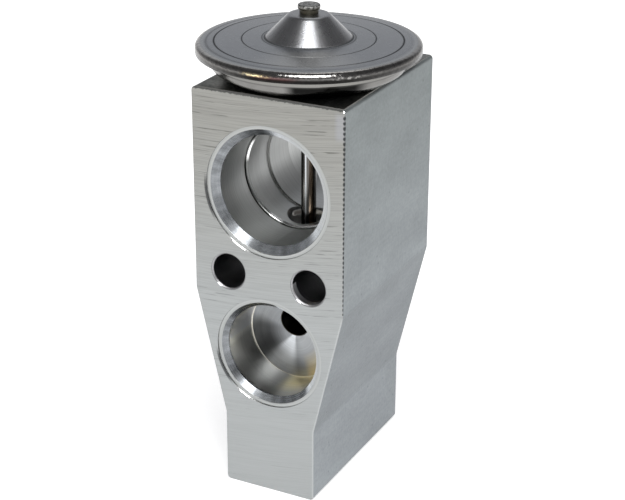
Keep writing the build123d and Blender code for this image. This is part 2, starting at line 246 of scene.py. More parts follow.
    def shade(self, colour, factor):
        """Multiplies a colour by a number."""
        made = self.node("ShaderNodeVectorMath", operation="SCALE")
        self.put(made.inputs[0], colour)
        self.put(made.inputs["Scale"], factor)
        return made.outputs[0]

    def bump(self, height, distance, normal=None, strength=1.0):
        inputs = {"Height": height, "Distance": distance, "Strength": strength}
        if normal is not None:
            inputs["Normal"] = normal
        return self.node("ShaderNodeBump", inputs).outputs["Normal"]

    def surface(self, shader):
        self.put(self.output.inputs["Surface"], shader.outputs[0])
        return self.owner

    def finish(self, colour, roughness, metallic, normal, tangent=None, anisotropy=0.0):
        shader = self.node(
            "ShaderNodeBsdfPrincipled",
            {"Base Color": colour, "Roughness": roughness, "Metallic": metallic, "Anisotropic": anisotropy},
        )
        self.put(shader.inputs["Normal"], normal)
        if tangent is not None:
            self.put(shader.inputs["Tangent"], tangent)
        return self.surface(shader)


class Finish(Graph):
    """Material with places on the part in millimetres and radians, each made when first asked for."""

    def __init__(self, name):
        super().__init__(bpy.data.materials.new(name))
        self.x, self.y, self.z = self.place()

    @cached_property
    def where(self):
        return self.vector(self.x, self.y, self.z)

    @cached_property
    def height(self):
        """Height over the block's top face."""
        return self.sub(self.z, TOP_Z)

    @cached_property
    def radius(self):
        """Distance from the valve axis."""
        return self.length(self.x, self.y)

    @cached_property
    def around(self):
        """Angle about the valve axis, from the front."""
        return self.math("ARCTAN2", self.x, self.mul(self.y, -1.0))


class Block(Finish):
    """Aluminium block: places and masks on it, and the finish of each kind of surface."""

    def __init__(self):
        super().__init__("body_metal")
        self.rough_spot = self.noise(self.where, 2.2, 2.0)
        self.mark_faces()
        self.mark_ports()
        self.mark_holes()
        self.mark_top_edge()
        self.mark_tooling()

    def mark_faces(self):
        """Masks of the outside faces, and of all that lies inside them."""
        self.ny, nz = self.face_normal()[1:]
        self.half_width = self.ramp(self.z, TAPER_START, TAPER_END, HALF_FOOT, HALF_WIDTH)
        self.front = self.both(self.below(self.y, FRONT_Y + SKIN), self.below(self.ny, -SQUARE_ON))
        self.back = self.both(self.above(self.y, BACK_Y - SKIN), self.above(self.ny, SQUARE_ON))
        self.top = self.both(self.above(self.z, TOP_Z - SKIN), self.above(nz, SQUARE_ON))
        self.bottom = self.both(self.below(self.z, SKIN), self.below(nz, -SQUARE_ON))
        self.side = self.both(
            self.above(self.sub(self.absolute(self.x), self.half_width), -SIDE_SKIN),
            self.below(self.absolute(self.ny), 0.5),
            self.inverse(self.either(self.top, self.bottom)),
        )
        self.outside = self.either(self.front, self.back, self.top, self.bottom, self.side)
        self.inside = self.inverse(self.outside)

    def mark_ports(self):
        """Places in the turned ports (height from the axis, radius, depth and angle), and their zones."""
        self.upper = self.above(self.z, FIXING_Z)
        lower_z = self.blend_value(self.above(self.y, INLET_SIDE_Y), OUTLET_Z, INLET_Z)
        self.from_axis = self.sub(self.z, self.blend_value(self.upper, lower_z, SUCTION_Z))
        self.port_radius = self.length(self.x, self.from_axis)
        self.angle = self.math("ARCTAN2", self.from_axis, self.x)
        from_front = self.sub(self.y, FRONT_Y)
        from_back = self.sub(BACK_Y, self.y)
        self.depth = self.blend_value(self.above(self.y, MIDDLE_Y), from_front, from_back)
        self.near_front = self.below(self.y, 2.0)
        self.mark_mouths()
        self.mark_outlet()
        self.passage = self.both(self.inside, self.upper, self.above(self.depth, PASSAGE_DEPTH))
        self.shoulder = self.both(
            self.inside,
            self.between(self.depth, SHOULDER_START, SHOULDER_END),
            self.upper,
            self.near_front,
        )

    def mark_mouths(self):
        """Zones where a port opens: the spot face, its wall and the chamfer behind it."""
        facing = self.above(self.absolute(self.ny), 0.5)
        self.spot_ring = self.both(self.inside, self.below(self.depth, SPOT_DEPTH + 0.06), facing)
        self.spot_wall = self.both(
            self.inside, self.below(self.depth, SPOT_DEPTH - 0.01), self.inverse(facing)
        )
        self.chamfer = self.both(
            self.inside,
            self.between(self.depth, SPOT_DEPTH + 0.02, CHAMFER_DEPTH),
            self.inverse(self.spot_ring),
        )
        self.chamfer_far = self.both(self.chamfer, self.near_front, self.arc(self.angle, 25.0, 75.0))

    def mark_outlet(self):
        """Floor and wall of the liquid outlet."""
        self.outlet = self.both(self.inside, self.inverse(self.upper), self.below(self.y, MIDDLE_Y))
        self.outlet_floor = self.both(
            self.outlet,
            self.below(self.ny, -0.8),
            self.above(self.depth, OUTLET_FLOOR_DEPTH),
            self.below(self.port_radius, OUTLET_RADIUS + 0.05),
        )
        past_chamfer = self.above(self.depth, CHAMFER_DEPTH - 0.05)
        self.outlet_wall = self.both(self.outlet, past_chamfer, self.inverse(self.outlet_floor))

    def mark_holes(self):
        """The drilled fixing holes, and the painted glint, a painted highlight, at the lower left of their
        mouths.
        """
        from_middle = self.sub(self.absolute(self.x), FIXING_X)
        from_hole = self.length(from_middle, self.sub(self.z, FIXING_Z))
        self.fixing = self.both(self.inside, self.below(from_hole, 3.8))
        across = self.sub(self.x, self.mul(self.math("SIGN", self.x), FIXING_X))
        self.hole_angle = self.math("ARCTAN2", self.sub(self.z, FIXING_Z), across)
        self.mouth = self.both(self.front, self.below(from_hole, MOUTH_RADIUS, 0.08))
        # Painted highlight at the lower left of each hole's mouth
        self.hole_glint = self.both(self.mouth, self.arc(self.hole_angle, 236.0, 13.0))

    def mark_top_edge(self):
        """Narrow strip along the top face's front and right edges, and a painted glint on the rounded corner
        where they meet.
        """
        from_front = self.sub(self.y, FRONT_Y)
        from_right = self.sub(HALF_WIDTH, self.x)
        nearest = self.math("MINIMUM", from_front, from_right)
        self.top_strip = self.both(self.top, self.below(nearest, 0.55, 0.1))
        self.strip_side = self.above(self.sub(from_front, from_right), 0.0, 0.1)
        across = self.length(self.sub(self.x, HALF_WIDTH - 0.15), from_front)
        corner = self.length(across, self.sub(self.z, TOP_Z - 0.25))
        uneven = self.add(corner, self.spread(self.rough_spot, -0.25, 0.25))
        # Painted highlight on the rounded top corner
        corner_glint = self.both(self.below(uneven, 0.27, 0.08), self.outside)
        # All painted highlights: the corner, the hole mouths and the ports' lower left
        self.bright = self.either(corner_glint, self.hole_glint, self.lip_light())

    def mark_tooling(self):
        """Noises that stand for the tools' traces: milling, turned rings, chamfer streaks and grain."""
        slope = self.add(self.ramp(self.z, 12.0, 62.0, 0.145, 0.08), self.mul(self.x, 0.0026))
        self.sweep = self.sub(self.z, self.mul(self.x, slope))
        self.fine = self.stretched_noise((self.x, 0.10), (self.y, 0.30), (self.sweep, 8.5), detail=1.0)
        self.rings = self.stretched_noise(
            (self.port_radius, 3.4), (self.depth, 3.4), 0.0, detail=3.0, roughness=0.7
        )
        self.streaks = self.stretched_noise(
            (self.angle, 9.0), (self.depth, 0.3), 2.0, detail=3.0, roughness=0.6
        )
        self.grain = self.noise(self.where, 1.7, 3.0, 0.6)

    def paint(self, mask, colour, strength=1.0):
        """Lays a colour over the colours so far."""
        self.colour = self.blend(self.weaken(mask, strength), self.colour, colour)

    def milled(self):
        """Fine broken marks in long flat arcs, darker and stronger near the top, on a colour that is painted
        darker and warmer towards the top as painted shade under the head.
        """
        long_marks = self.stretched_noise((self.x, 0.05), 3.0, (self.sweep, 4.6), detail=0.0)
        breaks = self.stretched_noise((self.x, 0.26), 7.0, (self.sweep, 2.1), detail=1.0)
        strong = self.ramp(self.z, 12.0, 62.0, 0.42, 1.0)
        dashes = self.both(
            self.ramp(long_marks, 0.27, 0.33, -0.34, 0.0), self.above(breaks, 0.52, 0.10), strong
        )
        change = self.add(self.mul(self.ramp(self.fine, 0.36, 0.60, -0.10, 0.05), strong), dashes)
        # Painted shade: the face gets darker and warmer towards the top, under the head
        warm = self.ramp(self.z, 30.0, 76.0, smooth=True)
        return change, self.blend(warm, (0.418, 0.435, 0.436), (0.330, 0.330, 0.311))

    def extruded(self):
        """Matt and faintly mottled sides, with a few dark pits, darker on the taper."""
        patches = self.noise(self.vector(self.x, self.mul(self.y, 0.5), self.z), 0.16, 2.0)
        drawn = self.stretched_noise((self.x, 2.5), (self.y, 0.06), (self.z, 2.5))
        pits = self.both(
            self.below(self.spots(self.where, 0.55), 0.12, 0.10),
            self.above(self.noise(self.where, 0.5, 0.0), 0.62, 0.06),
        )
        mottled = self.add(self.spread(self.grain, -0.055, 0.055), self.spread(patches, -0.05, 0.05))
        change = self.add(mottled, self.ramp(drawn, 0.35, 0.65, -0.015, 0.015))
        change = self.sub(change, self.mul(pits, 0.20))
        colour = self.blend(
            self.ramp(self.z, 25.0, 72.0), (0.348, 0.371, 0.388), (0.293, 0.318, 0.320)
        )
        taper = self.between(self.z, TAPER_START, TAPER_END, 1.0)
        return change, self.shade(colour, self.blend_value(taper, 1.0, 0.85))

    def outlet_wall_colour(self):
        """Wall of the liquid outlet: painted lighter and darker stretches as painted highlights and shade,
        and a painted gold reflection at the lower right.
        """
        # Painted highlights and painted shade round the wall
        light = self.arcs(self.angle, (165.0, 24.0, 1.0), (15.0, 60.0, 0.5))
        level = self.add(self.mul(light, 0.90), self.level(self.angle, 0.94, (241.0, 38.0, -0.46)))
        colour = self.shade((0.62, 0.61, 0.575), level)
        # Painted reflection: a gold patch at the lower right
        gold = self.both(self.arc(self.angle, 292.0, 32.0), self.above(self.depth, 5.0, 4.0))
        return self.blend(self.mul(gold, 0.9), colour, (1.0, 0.88, 0.52))

    def outlet_floor_colour(self):
        """Floor of the liquid outlet: painted light wedges as painted highlights, a side of painted shade and
        a painted gold reflection.
        """
        # Painted highlights and painted shade on the floor
        light = self.arcs(self.angle, (249.0, 28.0, 1.0), (325.0, 50.0, 0.15), (40.0, 70.0, 0.30))
        dark = self.both(self.arc(self.angle, 196.0, 38.0), self.above(self.port_radius, 3.5, 4.0))
        level = self.add(self.sub(self.mul(light, 0.85), self.mul(dark, 0.50)), 0.74)
        colour = self.shade((0.46, 0.48, 0.50), level)
        # Painted reflection: a gold patch
        gold = self.both(self.arc(self.angle, 312.0, 26.0), self.above(self.port_radius, 6.0, 3.0))
        return self.blend(self.mul(gold, 0.7), colour, (0.70, 0.59, 0.33))

    def chamfer_colour(self):
        """Chamfers at the ports' mouths: streaky, with painted highlights and painted shade in stretches
        round them, brightest at the lower left, and the far side painted like the face.
        """
        # Painted highlights and painted shade round the chamfer
        level = self.level(
            self.angle,
            0.62,
            (160.0, 60.0, -0.17),
            (240.0, 34.0, -0.40),
            (300.0, 45.0, 0.45),
            (30.0, 75.0, 0.5),
            (239.0, 12.0, 0.22),
        )
        level = self.mul(level, self.spread(self.streaks, 0.66, 1.24))
        return self.blend(self.chamfer_far, self.shade((0.60, 0.63, 0.66), level), (0.43, 0.445, 0.45))

    def turned(self):
        """Rings that follow the tool, and the ports' zones from the axis out to the mouth, with painted light
        and shade in them.
        """
        # Painted light and shade in the passage: lighter towards the bottom, darker on the left
        passage_level = self.level(self.angle, 1.0, (250.0, 45.0, 0.38), (165.0, 30.0, -0.14))
        passage_colour = self.shade((0.405, 0.412, 0.405), passage_level)
        colour = self.blend(self.passage, (0.52, 0.53, 0.52), passage_colour)
        colour = self.blend(self.outlet_wall, colour, self.outlet_wall_colour())
        colour = self.blend(self.outlet_floor, colour, self.outlet_floor_colour())
        # Painted highlight: a bright line round the outlet floor's edge
        rim = self.both(self.outlet_floor, self.above(self.port_radius, OUTLET_RADIUS - 0.16, 0.08))
        colour = self.blend(rim, colour, (0.85, 0.83, 0.76))
        colour = self.blend(self.chamfer, colour, self.chamfer_colour())
        colour = self.blend(self.spot_ring, colour, (0.44, 0.455, 0.45))
        # Painted highlight and painted shade on the spot faces' walls: a white crescent at the lower left,
        # dark on the left
        wall = self.blend(self.arc(self.angle, 242.0, 14.0), (0.20, 0.205, 0.205), (0.95, 0.95, 0.95))
        wall_dark = self.both(self.near_front, self.arc(self.angle, 196.0, 24.0))
        wall = self.blend(wall_dark, wall, (0.03, 0.03, 0.03))
        return self.spread(self.rings, -0.12, 0.10), self.blend(self.spot_wall, colour, wall)

    def lay_grounds(self):
        """Colour of each kind of surface, and the change that its traces bring."""
        milled_change, milled_colour = self.milled()
        extruded_change, side_colour = self.extruded()
        turned_change, turned_colour = self.turned()
        inner_change = self.blend_value(self.inside, milled_change, turned_change)
        self.change = self.blend_value(self.side, inner_change, extruded_change)
        inner_colour = self.blend(self.inside, milled_colour, turned_colour)
        self.colour = self.blend(self.side, inner_colour, side_colour)

    def paint_faces(self):
        """Speckled top face with its edge strip painted lighter as painted light, and the plain bottom and
        back faces.
        """
        speckle = self.ramp(self.rough_spot, 0.35, 0.6)
        self.paint(self.top, self.blend(speckle, (0.20, 0.205, 0.195), (0.33, 0.335, 0.32)))
        # Painted light along the top face's front and right edges
        self.paint(self.top_strip, (0.46, 0.455, 0.425))
        self.paint(self.either(self.bottom, self.back), (0.45, 0.46, 0.45))

    def paint_hollows(self):
        """Painted shade and light in the hollows: fixing holes darker near their mouths, the recess round the
        rod painted pale, the drilling in the outlet's floor painted near black, and the step in the suction
        line lit on one stretch.
        """
        # Painted shade inside the fixing holes, darkest just inside their mouths
        shadowed = self.both(
            self.above(self.y, -15.45, 0.2), self.ramp(self.y, -13.5, -3.0, 1.0, 0.0, True)
        )
        self.paint(self.fixing, self.blend(shadowed, (0.48, 0.48, 0.49), (0.15, 0.15, 0.155)))
        self.recess = self.both(
            self.inside,
            self.below(self.radius, 4.6, 0.1),
            self.above(self.y, 1.0, 1.0),
            self.between(self.z, 48.9, 49.9, 0.5),
        )
        # Painted light: the recess wall painted pale, as if lit
        self.paint(self.recess, (0.50, 0.47, 0.43))
        from_drilling = self.length(self.x, self.sub(self.z, DRILLING_Z))
        drilling = self.both(
            self.outlet, self.below(from_drilling, DRILLING_RADIUS, 0.05), self.above(self.depth, 10.1)
        )
        # Painted shade: the drilling painted near black
        self.paint(drilling, (0.06, 0.055, 0.045))
        facing_front = self.below(self.ny, -0.7)
        at_middle = self.between(self.y, MIDDLE_Y - 0.3, MIDDLE_Y + 0.3)
        step = self.both(self.inside, self.upper, facing_front, at_middle)
        lit = self.arc(self.angle, 235.0, 45.0)
        # Painted light and shade on the step: lit at the lower left, dark elsewhere
        self.paint(step, self.blend(lit, (0.44, 0.44, 0.43), (0.13, 0.13, 0.125)))

    def paint_mouths(self):
        """Painted shade in the mouths of the fixing holes, and dark crescents of painted shade outside both
        ports.
        """
        mouth_shade = self.either(self.mul(self.arc(self.hole_angle, 235.0, 130.0), 0.9), 0.15)
        self.paint(self.both(self.mouth, mouth_shade), (0.13, 0.132, 0.135))
        suction_arc = self.arc(self.angle, 193.0, 22.0)
        outlet_arc = self.arc(self.angle, 206.0, 22.0)
        lip_arc = self.blend_value(self.upper, outlet_arc, suction_arc)
        lip = self.both(self.front, lip_arc, self.between(self.from_lip(), -0.05, 0.46, 0.2))
        # Painted shade: dark crescents outside both ports
        self.paint(lip, (0.05, 0.052, 0.055), 0.85)

    def from_lip(self):
        """Distance outwards from the edge of a port's spot face."""
        lip_radius = self.blend_value(self.upper, OUTLET_LIP_RADIUS, SUCTION_LIP_RADIUS)
        return self.sub(self.port_radius, lip_radius)

    def lip_light(self):
        """Painted highlight: a bright crescent at the lower left of both ports."""
        lit = self.arc(self.angle, 241.5, 11.0)
        return self.both(self.front, lit, self.between(self.from_lip(), -0.05, 0.24, 0.1))

    def from_corner_line(self, half_width):
        """Distance from the line where the front face meets the right side."""
        behind = self.math("MAXIMUM", self.sub(self.y, FRONT_Y), 0.0)
        beside = self.math("MAXIMUM", self.sub(half_width, self.x), 0.0)
        return self.add(behind, beside)

    def side_burr(self):
        """Row of burrs down the front face's right edge."""
        wander = self.mul(self.noise(self.vector(0.0, 0.0, self.z), 0.30, 2.0), 9.0)
        pulse = self.math("SINE", self.add(self.mul(self.z, 6.9), wander))
        width = self.mul(self.ramp(self.z, 41.0, 76.0, 0.12, 0.30), self.ramp(pulse, -1.0, 1.0, 0.7, 1.2))
        return self.both(
            self.below(self.sub(self.from_corner_line(HALF_WIDTH), width), 0.0, 0.15),
            self.ramp(pulse, -0.75, 0.05, 0.40, 1.0),
            self.above(self.z, 39.5),
            self.below(self.z, 76.6, 0.3),
            self.outside,
        )

    def paint_edges(self):
        """Painted highlight line on the lower right edge, a bluish patch at the upper right, burrs, and the
        painted highlights.
        """
        at_edge = self.below(self.from_corner_line(self.half_width), 0.22, 0.12)
        edge_line = self.both(at_edge, self.below(self.z, 38.5, 1.0), self.outside)
        # Painted highlight: a light line along the lower right edge
        self.paint(edge_line, (0.60, 0.62, 0.62), 0.5)
        bluish_patch = self.both(
            self.front, self.above(self.x, 13.3, 0.8), self.between(self.z, 72.0, 76.6, 1.0)
        )
        # A bluish patch near the upper right of the front face
        self.paint(bluish_patch, (0.385, 0.395, 0.425), 0.6)
        jagged = self.stretched_noise((self.x, 1.6), 0.0, 0.0, detail=3.0, roughness=0.7)
        uneven_z = self.add(self.z, self.ramp(jagged, 0.35, 0.65, -0.12, 0.16))
        top_burr = self.both(self.front, self.above(uneven_z, TOP_Z - 0.28, 0.08))
        burrs = self.either(self.mul(self.side_burr(), 0.93), self.mul(top_burr, 0.75))
        self.paint(burrs, (0.032, 0.035, 0.037))
        # Painted highlights in white
        self.paint(self.bright, WHITE)

    def paint_shoulder(self):
        """Rounded shoulder where the suction bore meets the passage: painted dark, with painted highlights in
        bright stretches.
        """
        light = self.arcs(self.angle, (161.0, 15.0, 1.0), (246.0, 10.0, 1.0), (290.0, 40.0, 0.35))
        self.paint(self.shoulder, self.blend(light, (0.17, 0.175, 0.17), WHITE))

    def roughness(self):
        value = self.blend_value(self.side, self.blend_value(self.inside, 0.38, 0.33), 0.56)
        value = self.blend_value(self.chamfer, value, 0.27)
        value = self.blend_value(self.fixing, value, 0.45)
        value = self.add(value, self.mul(self.change, -0.4))
        value = self.blend_value(self.bright, value, 0.15)
        return self.blend_value(self.shoulder, value, 0.22)

    def shoulder_normal(self):
        """Turns from the bore's wall towards the mouth over the shoulder's depth."""
        lean = self.ramp(self.depth, SHOULDER_START, SHOULDER_END - 0.1, 0.25, 1.25, True)
        across = self.math("COSINE", lean)
        inwards = self.math("DIVIDE", across, self.math("MAXIMUM", self.port_radius, 1.0))
        return self.vector(
            self.mul(self.mul(self.x, -1.0), inwards),
            self.mul(self.math("SINE", lean), -1.0),
            self.mul(self.mul(self.from_axis, -1.0), inwards),
        )

    def relief(self):
        """Shading normal: rounded edges, zones that are turned to or from the light, and the traces."""
        normal = self.node("ShaderNodeBevel", {"Radius": 0.00013}, samples=6).outputs[0]
        normal = self.blend_vector(self.shoulder, normal, self.shoulder_normal())
        strip = self.blend_vector(self.strip_side, (0.0, -0.9, 0.43), (0.9, 0.0, 0.43))
        normal = self.blend_vector(self.top_strip, normal, strip)
        normal = self.blend_vector(self.bright, normal, (0.379, -0.685, 0.623))
        normal = self.blend_vector(self.chamfer_far, normal, (0.0, -1.0, 0.0))
        normal = self.blend_vector(self.recess, normal, (0.0, -0.9, 0.43))
        inner_height = self.blend_value(self.inside, self.fine, self.rings)
        height = self.blend_value(self.side, inner_height, self.mul(self.grain, 0.5))
        height = self.blend_value(self.chamfer, height, self.mul(self.streaks, 0.3))
        return self.bump(height, 0.00002, normal, 0.6)

    def tangent(self):
        """Direction of the tools' traces: across the milled faces, round the ports and along the sides."""
        round_port = self.vector(self.from_axis, 0.0, self.mul(self.x, -1.0))
        tangent = self.blend_vector(self.inside, self.vector(1.0, 0.0, 0.0), round_port)
        return self.blend_vector(self.side, tangent, self.vector(0.0, 1.0, 0.0))


def body_metal():
    """Aluminium profile: the grounds first, then what lies on them."""
    g = Block()
    g.lay_grounds()
    g.paint_faces()
    g.paint_hollows()
    g.colour = g.shade(g.colour, g.add(1.0, g.change))
    g.paint_mouths()
    g.paint_edges()
    g.paint_shoulder()
    return g.finish(g.colour, g.roughness(), 1.0, g.relief(), g.tangent(), 0.55)


def cover_lines(g):
    """Painted shade: dark lines at the cover's pressed rings and at the cone's foot, the outermost fainter
    towards the right.
    """
    return g.either(
        g.mul(g.between(g.radius, 11.80, 12.10, 0.16), 0.75),
        g.between(g.radius, 16.72, 17.08, 0.16),
        g.mul(g.between(g.radius, 7.72, 8.05, 0.16), 1.1),
        g.mul(g.between(g.radius, 8.2, 8.5, 0.16), 0.8),
        g.mul(g.between(g.radius, 18.1, 18.5, 0.3), g.ramp(g.around, -0.2, 0.9, 0.5, 0.12)),
    )


def cover_colour(g, cone, uneven, grain):
    """Satin sheet with a painted soft highlight streak and a painted light line on its ridge, and the cone
    with a painted highlight stripe down its front.
    """
    drawn = g.stretched_noise((g.around, 18.0), (g.radius, 0.25), 1.0, detail=1.0)
    rolled = g.stretched_noise((g.radius, 3.0), (g.around, 1.2), 2.0)
    change = g.add(g.spread(uneven, 0.96, 1.04), g.spread(grain, -0.02, 0.02))
    colour = g.shade((0.40, 0.412, 0.430), change)
    colour = g.shade(colour, g.add(1.0, g.spread(rolled, -0.03, 0.03)))
    # Painted highlight along the ridge
    ridge = g.between(g.radius, 18.75, 19.35, 0.3)
    colour = g.blend(g.mul(ridge, 0.6), colour, (0.56, 0.57, 0.565))
    # Painted highlight: a soft streak across the sheet
    streak = g.both(g.near(g.around, 0.47, 0.15, 0.75), g.between(g.radius, 9.5, 17.5, 1.5))
    colour = g.blend(streak, colour, (0.57, 0.57, 0.56))
    # Painted highlight: a light stripe down the cone's front
    stripe = g.near(g.around, 0.44, 0.12, 0.30)
    cone_colour = g.blend(stripe, (0.47, 0.475, 0.485), (0.66, 0.67, 0.69))
    return g.blend(cone, colour, g.shade(cone_colour, g.spread(drawn, 0.94, 1.05)))


def weld_level(g, ripple):
    """How light the weld is painted: dark oxide below, painted light on its shoulder, painted reflection
    lighter to the left and right, and a few painted glints on the right.
    """
    # Painted reflection: lighter to the left and right
    left = g.ramp(g.around, -0.9, 0.05, 0.13, 0.0, True)
    right = g.ramp(g.around, 0.65, 1.45, 0.0, 0.07, True)
    low = g.add(g.add(0.018, left), right)
    level = g.blend_value(g.ramp(g.height, 4.75, 5.65, smooth=True), low, 0.30)
    level = g.blend_value(g.above(g.height, 6.0, 0.3), level, 0.62)
    level = g.mul(level, g.ramp(g.around, 0.7, 1.3, 1.0, 0.72, True))
    # Painted highlights: a few glints on the right
    glints = g.both(
        g.near(g.around, 0.80, 0.06, 0.16),
        g.between(g.height, 4.95, 5.5, 0.2),
        g.above(ripple, 0.53, 0.06),
    )
    return g.add(g.mul(level, g.ramp(ripple, 0.35, 0.65, 0.8, 1.2)), g.mul(glints, 0.25))


def weld_colour(g, ripple):
    """Heat tints of the weld round the rim: a maroon stretch, and a gold spot at the front that is heat tint
    with a painted glint at its pale core.
    """
    maroon = g.both(g.near(g.around, 0.17, 0.08, 0.28), g.between(g.height, 4.7, 5.3, 0.5))
    colour = g.shade(g.blend(maroon, (1.0, 0.97, 0.93), (1.25, 0.72, 0.70)), weld_level(g, ripple))
    # Gold heat tint with a painted glint: pale core, brown-gold fringe
    gold = g.both(g.near(g.around, 0.01, 0.05, 0.17), g.between(g.height, 5.05, 5.6, 0.25))
    gold_colour = g.blend(gold, (0.42, 0.30, 0.10), (1.0, 0.88, 0.58))
    return g.blend(g.mul(gold, g.ramp(ripple, 0.35, 0.55)), colour, gold_colour)


def rim_normal(g):
    """The rim is rounded over: its surface turns from up to outwards and then down."""
    lean = g.add(g.ramp(g.radius, 18.95, 20.26, 1.5708, 0.95), g.ramp(g.height, 4.3, 6.16, -1.60, 0.0))
    level = g.math("DIVIDE", g.math("COSINE", lean), g.radius)
    rolled = g.vector(g.mul(g.x, level), g.mul(g.y, level), g.math("SINE", lean))
    edge = g.both(g.above(g.radius, 18.95, 0.1), g.below(g.height, 6.4, 0.1))
    return g.blend_vector(edge, g.smooth_normal(), rolled)


def cover_metal():
    """Satin pressed cover with dark ring lines of painted shade, a bright drawn cone with a painted
    highlight, and a heat-tinted weld at the rim with painted light on it.
    """
    g = Finish("cover_steel")
    uneven = g.noise(g.where, 0.9, 3.0)
    grain = g.noise(g.where, 3.5, 2.0)
    ripple = g.stretched_noise((g.around, 30.0), (g.height, 1.6), 4.0, detail=3.0, roughness=0.6)
    cone = g.both(g.below(g.radius, 8.0, 0.3), g.above(g.height, 6.85, 0.1))
    seam = g.both(g.above(g.radius, 19.35, 0.2), g.below(g.height, 6.4, 0.1))
    lines = cover_lines(g)
    colour = g.blend(g.mul(lines, 0.72), cover_colour(g, cone, uneven, grain), (0.06, 0.065, 0.07))
    colour = g.blend(seam, colour, weld_colour(g, ripple))
    roughness = g.add(g.blend_value(cone, 0.26, 0.28), g.spread(uneven, -0.015, 0.015))
    roughness = g.blend_value(seam, roughness, 0.14)
    roughness = g.blend_value(lines, roughness, 0.6)
    relief = g.blend_value(cone, g.mul(grain, 0.4), 0.2)
    relief = g.blend_value(seam, relief, g.mul(ripple, 4.0))
    return g.finish(colour, roughness, 1.0, g.bump(relief, 0.00002, rim_normal(g), 0.7))


def cup_metal():
    """Pressed cup under the rim, slightly uneven, with painted reflection: light on the left and right and
    dark between, and a dark line of painted shade at its step.
    """
    g = Finish("head_steel")
    uneven = g.noise(g.vector(g.x, g.y, g.mul(g.z, 1.5)), 0.7, 3.0)
    step = g.between(g.height, 2.75, 3.05, 0.2)
    flare = g.above(g.height, 3.0, 0.15)
    # Painted reflection: light on the left and right, dark between
    left = g.ramp(g.around, 0.21, 0.35, 1.0, 0.05, True)
    right = g.ramp(g.around, 0.92, 1.15, 0.05, 1.0, True)
    level = g.mul(g.spread(uneven, 0.93, 1.07), g.either(left, right))
    colour = g.shade((0.245, 0.24, 0.23), level)
    # Painted shade: a dark line at the step
    colour = g.blend(g.mul(step, 0.5), colour, (0.08, 0.08, 0.075))
    colour = g.blend(flare, colour, (0.27, 0.265, 0.25))
    outward = g.math("DIVIDE", 0.985, g.radius)
    flare_normal = g.vector(g.mul(g.x, outward), g.mul(g.y, outward), -0.17)
    normal = g.blend_vector(flare, g.smooth_normal(), flare_normal)
    roughness = g.add(0.2, g.spread(uneven, -0.04, 0.05))
    return g.finish(colour, roughness, 1.0, g.bump(uneven, 0.00003, normal))


def plug_metal():
    """Dark plug whose end was pinched off: rough bright flecks on top."""
    g = Finish("plug_steel")
    flecks = g.noise(g.where, 1.9, 4.0, 0.7)
    end = g.above(g.height, 12.35, 0.3)
    flecked = g.blend(g.ramp(flecks, 0.40, 0.62), (0.10, 0.10, 0.095), (0.55, 0.55, 0.53))
    colour = g.blend(end, (0.075, 0.07, 0.055), flecked)
    roughness = g.blend_value(end, 0.35, 0.30)
    return g.finish(colour, roughness, 1.0, g.bump(flecks, 0.00025, None, g.mul(end, 0.8)))


def rod_metal():
    """Polished rod: dark, with one painted highlight streak and a mottled brown stripe beside it."""
    g = Finish("rod_steel")
    blotches = g.stretched_noise((g.x, 0.8), (g.y, 0.8), (g.z, 0.35), detail=3.0)
    # Painted highlight: one bright streak down the rod
    streak = g.near(g.around, 0.05, 0.03, 0.17)
    brown = g.both(g.near(g.around, 0.82, 0.15, 0.40), g.ramp(blotches, 0.35, 0.6, 0.5, 1.0))
    ground = g.blend(brown, (0.12, 0.115, 0.11), (0.38, 0.28, 0.205))
    colour = g.blend(streak, ground, (0.66, 0.68, 0.70))
    return g.finish(colour, 0.2, 1.0, g.bump(blotches, 0.00001))


def plain_metal(name, colour, roughness):
    """Metal with a faint unevenness."""
    g = Finish(name)
    uneven = g.noise(g.where, 1.5, 3.0)
    colour = g.shade(colour, g.spread(uneven, 0.95, 1.05))
    roughness = g.spread(uneven, roughness - 0.03, roughness + 0.03)
    return g.finish(colour, roughness, 1.0, g.bump(uneven, 0.00001))


def rubber():
    """Black, matt and slightly grainy."""
    g = Finish("seal_rubber")
    grain = g.noise(g.where, 5.0, 2.0)
    colour = g.shade((0.025, 0.025, 0.027), g.spread(grain, 0.8, 1.2))
    return g.finish(colour, 0.55, 0.0, g.bump(grain, 0.00001))


def dress(material, *names):
    """Gives a finish to CAD nodes."""
    for name in names:
        mesh_object = nodes[name]
        if not mesh_object.material_slots:
            mesh_object.data.materials.append(material)
        for material_slot in mesh_object.material_slots:
            material_slot.link = "OBJECT"
            material_slot.material = material


dress(body_metal(), "valve_body")
dress(cup_metal(), "lower_cover")
dress(cover_metal(), "upper_cover")
dress(plain_metal("diaphragm_steel", (0.60, 0.60, 0.58), 0.2), "diaphragm")
dress(plain_metal("collar_steel", (0.50, 0.50, 0.49), 0.35), "head_collar")
dress(plug_metal(), "charge_plug")
dress(plain_metal("plate_steel", (0.55, 0.55, 0.55), 0.3), "backing_plate", "seal_retainer", "ball_carrier")
dress(rod_metal(), "actuating_rod")
dress(plain_metal("ball_steel", (0.62, 0.62, 0.62), 0.08), "ball")
spring_steel = plain_metal("spring_steel", (0.48, 0.48, 0.48), 0.3)
dress(spring_steel, "damping_ring")
dress(plain_metal("screw_brass", (0.72, 0.58, 0.32), 0.28), "adjusting_screw")
dress(rubber(), "head_seal", "rod_seal", "adjuster_seal")


